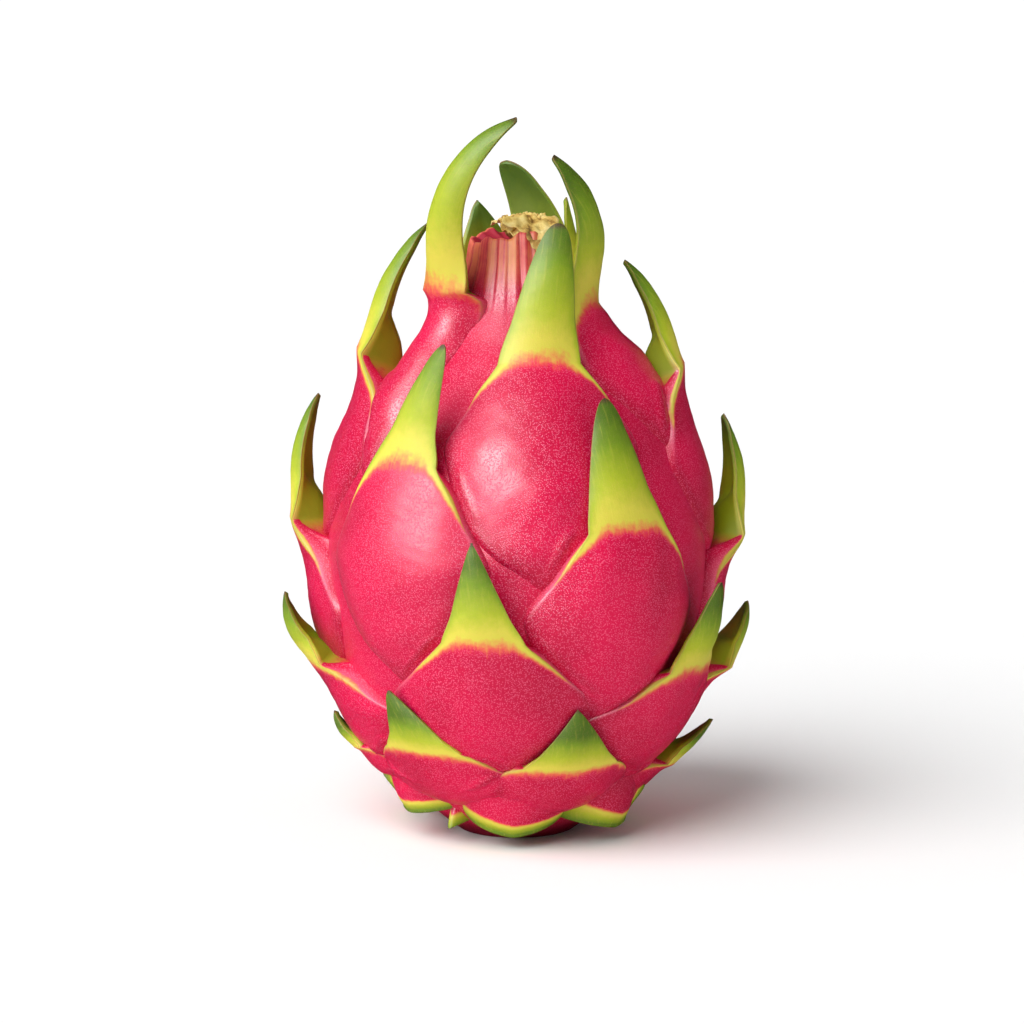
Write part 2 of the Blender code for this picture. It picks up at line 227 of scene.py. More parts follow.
PADS: Tuple[Pad, ...] = (
    Pad("pad_front", -2.0, 32, 16.0, 2.9, 23.2, 5.8),
    Pad("pad_left", -62, 25, 16.5, 5.6, 25.8, 7.8, -2.1),
    Pad("pad_right", 53, 27, 16.0, 3.4, 26.4, 6.2, 2.1),
    Pad("pad_tab", -38, 5, 8.0, 3.4, 22.8, 4.6),
    Pad("pad_right_back", 100, 24, 16.0, 3.0, 23.8, 6.0),
    Pad("pad_back", 148, 25, 16.0, 2.4, 23.6, 6.0),
    Pad("pad_left_back", -162, 25, 16.0, 2.6, 23.6, 6.0),
    Pad("pad_far_left", -112, 25, 16.0, 3.2, 24.0, 6.0, -0.6),
)


class Hue(Enum):
    """The colours of the fruit and of its setting, as sRGB."""

    CRIMSON = "#E00048"
    DEEP_CRIMSON = "#B0002E"
    MAGENTA = "#E8184E"
    PALE_PINK = "#FF76A0"
    SALMON = "#EA5C48"
    AMBER = "#E4A848"
    YELLOW = "#DCD244"
    LIME = "#B2C01C"
    GREEN = "#7C9C0A"
    DARK_GREEN = "#547608"
    OLIVE = "#8CA010"
    RUST = "#9A4A1A"
    RIM_BLADE = "#B89850"
    RIM_SKIN = "#F08CA6"
    TIP_BROWN = "#4E3020"
    STRAW = "#F0CE6C"
    STRAW_PALE = "#FFE8A0"
    STRAW_MID = "#CC9C44"
    STRAW_DARK = "#744C14"
    WHITE = "#FFFFFF"
    # The stem base's own dark red, deepened to stand for painted contact shade round the resting spot.
    FOOT_RED_AND_SHADE = "#5A0A1C"
    NECK_DARK = "#A81230"
    NECK_RED = "#E84452"
    NECK_CORAL = "#F87A62"
    NECK_PEACH = "#F8A254"


class RampKind(Enum):
    """How a colour ramp runs between two of its colours."""

    STRAIGHT = "LINEAR"
    SOFT = "B_SPLINE"


# The Mix node has a pair of inputs for each kind of value. These are its colours' numbers.
MIX_A, MIX_B, MIX_OUT = 6, 7, 2

# Each ramp as (position, colour), along how far the skin has grown from pink to green.
SKIN_STOPS: Tuple[Tuple[float, Hue], ...] = (
    (0.0, Hue.CRIMSON),
    (0.16, Hue.CRIMSON),
    (0.20, Hue.MAGENTA),
    (0.24, Hue.SALMON),
    (0.28, Hue.AMBER),
    (0.32, Hue.YELLOW),
    (0.37, Hue.YELLOW),
    (0.52, Hue.LIME),
    (0.74, Hue.GREEN),
    (0.90, Hue.DARK_GREEN),
)
INNER_STOPS: Tuple[Tuple[float, Hue], ...] = (
    (0.0, Hue.DEEP_CRIMSON),
    (0.03, Hue.RUST),
    (0.08, Hue.OLIVE),
    (0.50, Hue.OLIVE),
    (0.85, Hue.DARK_GREEN),
)
# Across the neck's stripes, and from the depth of a dry fold to its crest.
NECK_STOPS: Tuple[Tuple[float, Hue], ...] = (
    (0.34, Hue.NECK_DARK),
    (0.43, Hue.NECK_RED),
    (0.51, Hue.NECK_CORAL),
    (0.62, Hue.NECK_PEACH),
)
DRIED_STOPS: Tuple[Tuple[float, Hue], ...] = (
    (0.32, Hue.STRAW_DARK),
    (0.40, Hue.STRAW_MID),
    (0.49, Hue.STRAW),
    (0.66, Hue.STRAW_PALE),
)


def linear(hue: Hue) -> Tuple[float, float, float, float]:
    """An sRGB colour as the linear colour that shader nodes take.

    Args:
        hue: The colour, whose value is #RRGGBB.

    Returns:
        Red, green and blue, linear, and full opacity.
    """
    parts = [int(hue.value[i : i + 2], 16) / 255 for i in (1, 3, 5)]
    rgb = [c / 12.92 if c <= 0.04045 else ((c + 0.055) / 1.055) ** 2.4 for c in parts]
    return rgb[0], rgb[1], rgb[2], 1.0


class NodeGraph:
    """A material's or world's node tree, emptied, with one short way to add a node to it."""

    def __init__(self, tree: bpy.types.NodeTree) -> None:
        """Empties the tree and keeps it."""
        tree.nodes.clear()
        self.tree = tree

    def add(
        self, kind: str, values: Optional[Dict[Any, Any]] = None, out: Any = 0, **settings: Any
    ) -> Optional[bpy.types.NodeSocket]:
        """Adds a node, sets it up and feeds its inputs.

        Args:
            kind: The node's type without its ShaderNode prefix, such as Math.
            values: Input name or number to a constant, or to a socket that is linked to it.
            out: The name or number of the output that is wanted.
            **settings: Properties of the node.

        Returns:
            The wanted output, or None where the node has no outputs.
        """
        node = self.tree.nodes.new("ShaderNode" + kind)
        for key, setting in settings.items():
            setattr(node, key, setting)
        for key, value in (values or {}).items():
            if isinstance(value, bpy.types.NodeSocket):
                self.tree.links.new(value, node.inputs[key])
            else:
                node.inputs[key].default_value = value
        return node.outputs[out] if node.outputs else None


def colour_stops(
    colour: bpy.types.NodeSocket,
    stops: Sequence[Tuple[float, Hue]],
    kind: RampKind = RampKind.STRAIGHT,
) -> None:
    """Puts the colours of a ramp in place.

    Args:
        colour: The colour output of a node that holds a ramp.
        stops: Positions from 0 to 1 with their colours.
        kind: How the ramp runs between two of them.
    """
    band = colour.node.color_ramp
    band.interpolation = kind.value
    while len(band.elements) > 1:
        band.elements.remove(band.elements[-1])
    band.elements[0].position = stops[0][0]
    band.elements[0].color = linear(stops[0][1])
    for position, hue in stops[1:]:
        band.elements.new(position).color = linear(hue)


def new_material(name: str) -> Tuple[bpy.types.Material, NodeGraph]:
    """A new material and its empty node graph.

    Args:
        name: The material's name.

    Returns:
        The material and its graph.
    """
    material = bpy.data.materials.new(name)
    material.use_nodes = True
    return material, NodeGraph(material.node_tree)


@dataclass(frozen=True)
class SkinFinish:
    """Living rind with its natural wax, as grown. Sizes are in mm.

    The wax gives broad soft highlights, a little light comes back from the
    flesh, and pale raised dots cover the red. Real dots are a little finer, and
    these are drawn as fine as they can show. Wander, patch, mottle and grain are
    how far apart the uneven spots lie, and streak the lines along a scale. The
    neck's stripes and lines are as wide as they would be at a radius of 10 mm.
    """

    speckle_spacing: float = 0.33
    speckle_height: float = 0.06
    wander: float = 11.11
    patch: float = 26.3
    mottle: float = 1.613
    grain: float = 0.6667
    streak: float = 0.625
    neck_stripe: float = 3.333
    neck_line: float = 0.4167
    roughness: float = 0.36
    soft_light: float = 0.08
    soft_reach: float = 2.0
    shine: float = 0.35


@dataclass(frozen=True)
class DriedFinish:
    """Dead petals dried in the air: matt straw with fine fibres, and painted shade darkening the folds. Sizes
    are in mm.
    """

    fibre_spacing: float = 0.7
    fibre_height: float = 0.25
    fibre_stretch: float = 0.15
    fold: float = 3.846
    roughness: float = 0.85


@dataclass(frozen=True)
class PaperFinish:
    """Matt white studio paper, which shows a soft shadow and no gloss."""

    hue: Hue = Hue.WHITE
    roughness: float = 0.9
    shine: float = 0.1


class SkinPainter:
    """Makes the skin: speckled crimson on the facets, running to yellow and green on the blades.

    The mesh stores how far each point has grown, from pink (0 and below) to dark
    green (1). Noise moves that value about, a ramp colours it, and coats of other
    colours then cover it one after the other.
    """

    STORED = (
        "grown", "across", "rim", "inside", "valley", "withered", "bare", "groove_shade", "neck", "foot", "bloom",
    )

    def __init__(self, finish: SkinFinish) -> None:
        """Starts the material with what the mesh stores, its noises and its colour boundary.

        Args:
            finish: The skin's sizes and gloss.
        """
        self.finish = finish
        self.material, self.graph = new_material("dragon_fruit_skin")
        g = self.graph
        self.on = {name: g.add("Attribute", out="Fac", attribute_name=name) for name in self.STORED}
        at = g.add("TexCoord", out="Object")
        self.wander, self.patch, self.mottle, self.grain = (
            g.add("TexNoise", {"Vector": at, "Scale": PER_METRE / size, "Detail": detail, "Roughness": rough})
            for size, detail, rough in (
                (finish.wander, 3.0, 0.55),
                (finish.patch, 2.0, 0.5),
                (finish.mottle, 3.0, 0.65),
                (finish.grain, 2.0, 0.5),
            )
        )
        along = g.add("Math", {0: self.on["grown"], 1: 1.6}, operation="MULTIPLY")
        lengthwise = g.add("CombineXYZ", {0: self.on["across"], 1: along, 2: 0.0})
        self.streak = g.add(
            "TexNoise", {"Vector": lengthwise, "Scale": 1 / finish.streak, "Detail": 3.0, "Roughness": 0.6}
        )
        self.grown = self.on["grown"]
        for noise, share in ((self.wander, 0.22), (self.streak, 0.04), (self.mottle, 0.16)):
            centred = g.add("Math", {0: noise, 1: 0.5}, operation="SUBTRACT")
            self.grown = g.add("Math", {0: centred, 1: share, 2: self.grown}, operation="MULTIPLY_ADD")
        # A MapRange takes the value, the two ends that it comes from and the two it goes to.
        self.pink = g.add(
            "MapRange", {0: self.grown, 1: -0.06, 2: 0.05, 3: 1.0, 4: 0.0}, interpolation_type="SMOOTHSTEP"
        )
        self.green = g.add("Math", {0: 1.0, 1: self.pink}, operation="SUBTRACT")
        cells = g.add(
            "TexVoronoi",
            {"Vector": at, "Scale": PER_METRE / finish.speckle_spacing, "Randomness": 0.9},
            out="Distance",
            feature="F1",
        )
        round_dots = g.add(
            "MapRange", {0: cells, 1: 0.18, 2: 0.50, 3: 1.0, 4: 0.0}, interpolation_type="SMOOTHSTEP"
        )
        dotted = g.add("Math", {0: 1.0, 1: self.on["bare"]}, operation="SUBTRACT")
        self.dots = g.add("Math", {0: round_dots, 1: dotted}, operation="MULTIPLY")

    def coats(self) -> List[Tuple[bpy.types.NodeSocket, Any]]:
        """The coats over the plain ramp.

        Returns:
            How much each coat covers, with its colour, in the order of painting.
        """
        g, on = self.graph, self.on
        blotch = g.add("MapRange", {0: self.patch, 1: 0.38, 2: 0.66}, interpolation_type="SMOOTHSTEP")
        line = g.add("MapRange", {0: self.streak, 1: 0.52, 2: 0.66}, interpolation_type="SMOOTHSTEP")
        coats = [(on["withered"], linear(Hue.TIP_BROWN))]
        for amount, where, strength, hue in (
            (blotch, self.pink, 0.5, Hue.DEEP_CRIMSON),
            # Painted shade: the pink turns deep crimson in the valleys where facets meet.
            (on["valley"], self.pink, 0.6, Hue.DEEP_CRIMSON),
            (line, self.green, 0.16, Hue.YELLOW),
        ):
            there = g.add("Math", {0: amount, 1: where}, operation="MULTIPLY")
            coats.append((g.add("Math", {0: there, 1: strength}, operation="MULTIPLY"), linear(hue)))
        strength = g.add("Math", {0: self.pink, 1: 0.46, 2: 0.04}, operation="MULTIPLY_ADD")
        speckle = g.add("Math", {0: self.dots, 1: strength}, operation="MULTIPLY")
        # The foot coat is the stem base's own dark red, and painted contact shade as well.
        foot = g.add("Math", {0: on["foot"], 1: 0.7}, operation="MULTIPLY")
        edge = g.add("Math", {0: on["rim"], 1: 0.45}, operation="MULTIPLY")
        edge_colour = g.add(
            "Mix",
            {0: self.pink, MIX_A: linear(Hue.RIM_BLADE), MIX_B: linear(Hue.RIM_SKIN)},
            out=MIX_OUT,
            data_type="RGBA",
        )
        return coats + [
            (speckle, linear(Hue.PALE_PINK)),
            (on["inside"], self.inner()),
            (on["neck"], self.neck()),
            (foot, linear(Hue.FOOT_RED_AND_SHADE)),
            (edge, edge_colour),
        ]

    def inner(self) -> bpy.types.NodeSocket:
        """The colour of a blade's inner side, by its own ramp.

        Returns:
            The colour.
        """
        placed = self.graph.add("MapRange", {0: self.grown, 1: -0.1, 2: 1.05})
        colour = self.graph.add("ValToRGB", {0: placed})
        colour_stops(colour, INNER_STOPS)
        return colour

    def neck(self) -> bpy.types.NodeSocket:
        """The neck's colour: broad and narrow upright stripes, with painted shade in its grooves.

        Returns:
            The colour.
        """
        g = self.graph
        upright = g.add("CombineXYZ", {0: self.on["across"], 1: 0.0, 2: 0.0})
        broad, fine = (
            g.add("TexNoise", {"Vector": upright, "Scale": 1 / width, "Detail": detail, "Roughness": rough})
            for width, detail, rough in (
                (self.finish.neck_stripe, 2.0, 0.5),
                (self.finish.neck_line, 3.0, 0.6),
            )
        )
        stripes = g.add("Math", {0: fine, 1: 0.32}, operation="MULTIPLY")
        stripes = g.add("Math", {0: broad, 1: 0.68, 2: stripes}, operation="MULTIPLY_ADD")
        centred = g.add("Math", {0: self.mottle, 1: 0.5}, operation="SUBTRACT")
        stripes = g.add("Math", {0: centred, 1: 0.12, 2: stripes}, operation="MULTIPLY_ADD")
        colour = g.add("ValToRGB", {0: stripes})
        colour_stops(colour, NECK_STOPS, RampKind.SOFT)
        return g.add(
            "Mix",
            {0: self.on["groove_shade"], MIX_A: colour, MIX_B: linear(Hue.NECK_DARK)},
            out=MIX_OUT,
            data_type="RGBA",
        )

    def relief(self) -> bpy.types.NodeSocket:
        """The bump of the dots on the pink, and of the lengthwise streaks on the green.

        Returns:
            The bumped normal.
        """
        g = self.graph
        raised = g.add("Math", {0: self.pink, 1: 0.8, 2: 0.2}, operation="MULTIPLY_ADD")
        height = g.add("Math", {0: self.dots, 1: raised}, operation="MULTIPLY")
        height = g.add("Math", {0: self.grain, 1: 0.5, 2: height}, operation="MULTIPLY_ADD")
        veins = g.add("Math", {0: self.streak, 1: self.green}, operation="MULTIPLY")
        height = g.add("Math", {0: veins, 1: 1.2, 2: height}, operation="MULTIPLY_ADD")
        return g.add(
            "Bump", {"Strength": 0.6, "Distance": self.finish.speckle_height * MM, "Height": height}
        )

    def gloss(self) -> bpy.types.NodeSocket:
        """The roughness: uneven, higher on the green, and higher still under bloom.

        Returns:
            The roughness.
        """
        g = self.graph
        uneven = 0.12
        rough = g.add(
            "Math",
            {0: self.wander, 1: uneven, 2: self.finish.roughness - uneven / 2},
            operation="MULTIPLY_ADD",
        )
        rough = g.add("Math", {0: self.green, 1: 0.22, 2: rough}, operation="MULTIPLY_ADD")
        return g.add("Math", {0: rough, 1: self.on["bloom"]}, operation="ADD")

    def build(self) -> bpy.types.Material:
        """Joins colour, gloss and relief.

        Returns:
            The finished material.
        """
        g = self.graph
        placed = g.add("MapRange", {0: self.grown, 1: -0.3, 2: 1.1})
        skin = g.add("ValToRGB", {0: placed})
        colour_stops(skin, SKIN_STOPS)
        for cover, colour in self.coats():
            layers = {0: cover, MIX_A: skin, MIX_B: colour}
            skin = g.add("Mix", layers, out=MIX_OUT, data_type="RGBA")
        shader = g.add(
            "BsdfPrincipled",
            {
                "Base Color": skin,
                "Roughness": self.gloss(),
                "Normal": self.relief(),
                "Subsurface Weight": self.finish.soft_light,
                "Subsurface Radius": (1.0, 0.35, 0.3),
                "Subsurface Scale": self.finish.soft_reach * MM,
                "Specular IOR Level": self.finish.shine,
            },
        )
        g.add("OutputMaterial", {"Surface": shader})
        return self.material


def dried_material(finish: DriedFinish) -> bpy.types.Material:
    """Dry straw-coloured petals, fibrous, with painted shade darkening their folds.

    Args:
        finish: Their sizes and gloss.

    Returns:
        The material.
    """
    material, g = new_material("dried_flower")
    at = g.add("TexCoord", out="Object")
    folds = g.add(
        "TexNoise", {"Vector": at, "Scale": PER_METRE / finish.fold, "Detail": 4.0, "Roughness": 0.6}
    )
    # The colour follows the same noise as the bump, so the sunken folds get painted shade.
    colour = g.add("ValToRGB", {0: folds})
    colour_stops(colour, DRIED_STOPS, RampKind.SOFT)
    drawn_out = g.add("Mapping", {"Vector": at, "Scale": (1.0, 1.0, finish.fibre_stretch)})
    fibre = g.add(
        "TexNoise",
        {"Vector": drawn_out, "Scale": PER_METRE / finish.fibre_spacing, "Detail": 3.0, "Roughness": 0.5},
    )
    height = g.add("Math", {0: fibre, 1: folds}, operation="ADD")
    bump = g.add("Bump", {"Strength": 0.8, "Distance": finish.fibre_height * MM, "Height": height})
    shader = g.add(
        "BsdfPrincipled", {"Base Color": colour, "Roughness": finish.roughness, "Normal": bump}
    )
    g.add("OutputMaterial", {"Surface": shader})
    return material


def paper_material(finish: PaperFinish) -> bpy.types.Material:
    """Plain matt paper for the floor.

    Args:
        finish: Its colour and gloss.

    Returns:
        The material.
    """
    material, g = new_material("floor_paper")
    shader = g.add(
        "BsdfPrincipled",
        {
            "Base Color": linear(finish.hue),
            "Roughness": finish.roughness,
            "Specular IOR Level": finish.shine,
        },
    )
    g.add("OutputMaterial", {"Surface": shader})
    return material


class Rind:
    """The rind's outline by arc length from the rim of the resting spot, in mm."""

    def __init__(self) -> None:
        """Draws the profile's knots out into a fine smooth line and measures it."""
        samples = 900
        knots = np.array(RIND_PROFILE)
        chord = np.hypot(*np.diff(knots, axis=0).T)
        along = np.concatenate([[0.0], np.cumsum(chord)])
        fine = np.linspace(0.0, along[-1], samples)
        self.z = monotone(fine, along, knots[:, 0])
        self.r = monotone(fine, along, knots[:, 1])
        lengths = np.hypot(np.diff(self.r), np.diff(self.z))
        self.s = np.concatenate([[0.0], np.cumsum(lengths)])

    def at(self, s: Any) -> Tuple[np.ndarray, np.ndarray, np.ndarray]:
        """Reads the outline.

        Args:
            s: Arc lengths.

        Returns:
            Radius, height and lean from upright there, the lean in radians.
        """
        reach = 0.8
        r = np.interp(s, self.s, self.r)
        z = np.interp(s, self.s, self.z)
        rise = np.interp(s + reach, self.s, self.z) - np.interp(s - reach, self.s, self.z)
        out = np.interp(s + reach, self.s, self.r) - np.interp(s - reach, self.s, self.r)
        return r, z, np.arctan2(out, rise)

    def length_to(self, height: float) -> float:
        """Arc length at a height in mm."""
        return float(np.interp(height, self.z, self.s))


def grid_piece(
    name: str,
    points: np.ndarray,
    layers: Dict[str, np.ndarray],
    material: bpy.types.Material,
    closed: bool = True,
    capped: bool = True,
) -> bpy.types.Object:
    """Makes an object from a grid of points in mm.

    Args:
        name: The object's name.
        points: Rows by columns by 3, in mm.
        layers: Float attributes, rows by columns each.
        material: Its material.
        closed: Whether the last column joins the first.
        capped: Whether the first and last rows are closed with a flat face.

    Returns:
        The linked object, shaded smooth.
    """
    rows, columns = points.shape[:2]
    index = np.arange(rows * columns).reshape(rows, columns)
    following = np.roll(index, -1, axis=1)
    stop = columns if closed else columns - 1
    quads = np.stack(
        [index[:-1, :stop], following[:-1, :stop], following[1:, :stop], index[1:, :stop]], axis=-1
    ).reshape(-1, 4)
    faces = quads.tolist()
    if capped:
        faces += [index[0, ::-1].tolist(), index[-1].tolist()]
    mesh = bpy.data.meshes.new(name)
    mesh.from_pydata((points.reshape(-1, 3) * MM).tolist(), [], faces)
    for key, values in layers.items():
        layer = mesh.attributes.new(key, "FLOAT", "POINT")
        layer.data.foreach_set("value", np.ascontiguousarray(values, np.float32).reshape(-1))
    mesh.polygons.foreach_set("use_smooth", np.ones(len(mesh.polygons), bool))
    mesh.update()
    mesh.materials.append(material)
    obj = bpy.data.objects.new(name, mesh)
    bpy.context.scene.collection.objects.link(obj)
    LOG.info("%s: %d points, %d faces", name, len(mesh.vertices), len(mesh.polygons))
    return obj


def wave(seed: int, x: np.ndarray, y: np.ndarray, pitch: float) -> np.ndarray:
    """A smooth bumpy field: the sum of six sine waves in fixed directions drawn from the seed.

    Args:
        seed: Picks the waves.
        x: First coordinate, in mm.
        y: Second coordinate, in mm.
        pitch: About how far apart the bumps are, in mm.

    Returns:
        The field, from about -1 to 1.
    """
    waves = 6
    rng = np.random.default_rng(seed)
    total = np.zeros(np.broadcast(x, y).shape)
    for _ in range(waves):
        turn = rng.uniform(0, 2 * math.pi)
        length = pitch * rng.uniform(0.7, 1.6)
        phase = rng.uniform(0, 2 * math.pi)
        total += np.sin((x * math.cos(turn) + y * math.sin(turn)) * 2 * math.pi / length + phase)
    return total / 3.5


def facet_half_width(scale: Scale, q: np.ndarray) -> np.ndarray:
    """Half the width of a facet: a curve from its foot through its corner to the blade.

    Args:
        scale: The scale.
        q: Distance above the shoulder in mm, negative on the facet.

    Returns:
        Half the width, in mm.
    """
    wf, wb, low, corner = scale.facet_half, scale.blade_half, scale.facet, scale.corner
    at = [-low, -0.5 * (low + corner), -corner, -0.48 * corner, -0.17 * corner, 0.0]
    full = scale.fullness
    wide = [(full - 0.64) * wf, full * wf, wf, 0.5 * (wf + wb), 0.14 * wf + 0.9 * wb, wb]
    return monotone(np.clip(q, -low, 0.0), at, wide)


def facet_middle(scale: Scale, q: np.ndarray) -> np.ndarray:
    """How far the middle of the facet stands above the nominal rind: a pillow that ends at the lift.

    Args:
        scale: The scale.
        q: Distance above the shoulder in mm, negative on the facet.

    Returns:
        The height of the middle, in mm.
    """
    near = 3.2 + 0.36 * (scale.lift - 3.2)
    return monotone(
        np.clip(q / scale.facet, -1, 0),
        [-1.0, -0.78, -0.52, -0.3, -0.12, 0.0],
        [-2.6, 0.5, 2.8, 3.3, near, scale.lift],
    )


def facet_margin(scale: Scale, q: np.ndarray) -> np.ndarray:
    """How far the edge of the facet stands above the nominal rind: below it at the foot, proud at the top.

    Args:
        scale: The scale.
        q: Distance above the shoulder in mm, negative on the facet.

    Returns:
        The height of the edge, in mm.
    """
    corner = scale.corner
    return monotone(
        np.clip(q, -scale.facet, 0),
        [-scale.facet, -1.15 * corner, -0.8 * corner, -0.4 * corner, 0.0],
        [-3.2, -2.0, -0.8, 1.0, scale.lift - 0.8],
    )


def facet_flank(scale: Scale, q: np.ndarray) -> np.ndarray:
    """How steeply the outer side of the margin falls: a bank at the corner, a step at the shoulder."""
    return 1.1 + 3.4 * smoothstep(q, -scale.corner, -0.15 * scale.corner)


@dataclass
class Skin:
    """The heights of all facets over the nominal rind, joined by soft valleys.

    Valley and crease say how widely a soft and a crisp valley are rounded, fall is
    the drop past a facet's ends, and between the level of the bare rind, in mm.
    """

    rind: Rind
    valley: float = 3.4
    crease: float = 0.9
    fall: float = 12.0
    between: float = -1.8

    def height_of(
        self, scale: Scale, turn: np.ndarray, s: np.ndarray
    ) -> Tuple[np.ndarray, np.ndarray, np.ndarray]:
        """One facet's height at points on the rind.

        Args:
            scale: The scale.
            turn: Azimuths of the points, in radians.
            s: Their arc lengths, in mm.

        Returns:
            The height, the distance outside the margin, and q, all in mm.
        """
        q = s - self.rind.length_to(scale.height)
        across = (turn - math.radians(scale.azimuth) + math.pi) % (2 * math.pi) - math.pi
        across = np.abs(across) * np.interp(s, self.rind.s, self.rind.r)
        wide = facet_half_width(scale, q)
        middle = facet_middle(scale, q)
        margin = facet_margin(scale, q)
        beyond = np.maximum(across - wide, 0.0)
        share = np.minimum(across / wide, 1.0)
        height = middle + (margin - middle) * share**PILLOW - facet_flank(scale, q) * beyond
        past_top = smoothstep(q, -0.5, 2.0)
        past_foot = smoothstep(-q, scale.facet - 1.0, scale.facet + 3.0)
        return height - self.fall * (past_top + past_foot), across - wide, q

    def fillet(self, own: Scale, height: np.ndarray, turn: np.ndarray, s: np.ndarray) -> np.ndarray:
        """How much higher the own facet lies where it runs into its neighbours.

        Two facets that meet are both raised by the same amount at their crossing,
        so that the valley between them is rounded. The amount is
        (k - gap)^2 / (4 k), where gap is the difference of their heights. A crisp
        margin rolls up a little instead, as a hump beside the step.

        Args:
            own: The scale that is being made.
            height: Its height at the points, in mm.
            turn: Azimuths of the points, in radians.
            s: Their arc lengths, in mm.

        Returns:
            What the fillet adds to the height, in mm.
        """
        most = np.zeros_like(height)
        for other in SCALES:
            if other is own:
                continue
            theirs, outside, q = self.height_of(other, turn, s)
            crisp = smoothstep(q, -other.corner, -0.35 * other.corner) * (1 - smoothstep(q, -0.5, 1.5))
            k = self.valley + (self.crease - self.valley) * crisp
            rest = np.maximum(k - np.abs(height - theirs), 0.0)
            roll = 0.75 * np.exp(-(((outside - 2.6) / 1.5) ** 2)) * crisp * (height > theirs)
            most = np.maximum(most, np.maximum(rest**2 / (4 * k), roll))
        rest = np.maximum(self.valley - np.abs(height - self.between), 0.0)
        return np.maximum(most, rest**2 / (4 * self.valley))


@dataclass
class Loft:
    """The points of one scale's surface, as q along it and v across it.

    A row runs over the outer face from margin to margin, down the right flank,
    back over the hidden inner face and up the left flank. Past is how far down a
    flank a column lies, in mm, under is 0 on the outer face and 1 on the inner
    one, and buried marks the inner columns.
    """

    q: np.ndarray
    v: np.ndarray
    past: np.ndarray
    under: np.ndarray
    buried: np.ndarray


